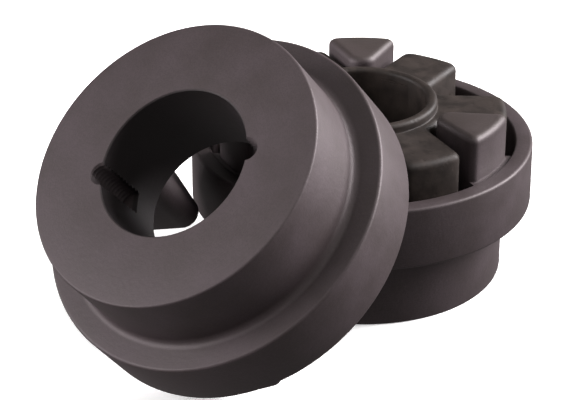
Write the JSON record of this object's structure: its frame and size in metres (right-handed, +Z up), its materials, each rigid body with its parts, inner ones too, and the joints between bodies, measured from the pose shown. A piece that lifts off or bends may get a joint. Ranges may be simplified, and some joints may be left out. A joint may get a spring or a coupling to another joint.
{
  "type": "flexible dog coupling",
  "caption": "Flexible shaft coupling taken apart: a cast half standing with a lobed rubber element in its cup, and an equal cast half leaning on it.",
  "frame": {"origin": "centre of the standing half's hub face, on the surface it stands on", "axes": "+Z up the standing half's axis, out of its cup; the leaning half lies towards -Y with its axis in a plane parallel to YZ"},
  "size_m": [0.0936, 0.1449, 0.0804],
  "materials": {
    "casting": "phosphated, satin, dark purple-grey",
    "rubber": "moulded, soft sheen"
  },
  "bodies": {
    "standing": {"standing_half": "casting"},
    "element": {"rubber_element": "rubber"},
    "leaning": {"leaning_half": "casting"}
  },
  "joints": [
    {"name": "element_lift", "type": "slide", "parent": "standing", "child": "element", "axis": [0, 0, 1], "range_m": [0, 0.01]},
    {"name": "leaning_half_draw", "type": "slide", "parent": "standing", "child": "leaning", "axis": [0, -0.6561, 0.7547], "range_m": [0, 0.05]}
  ]
}
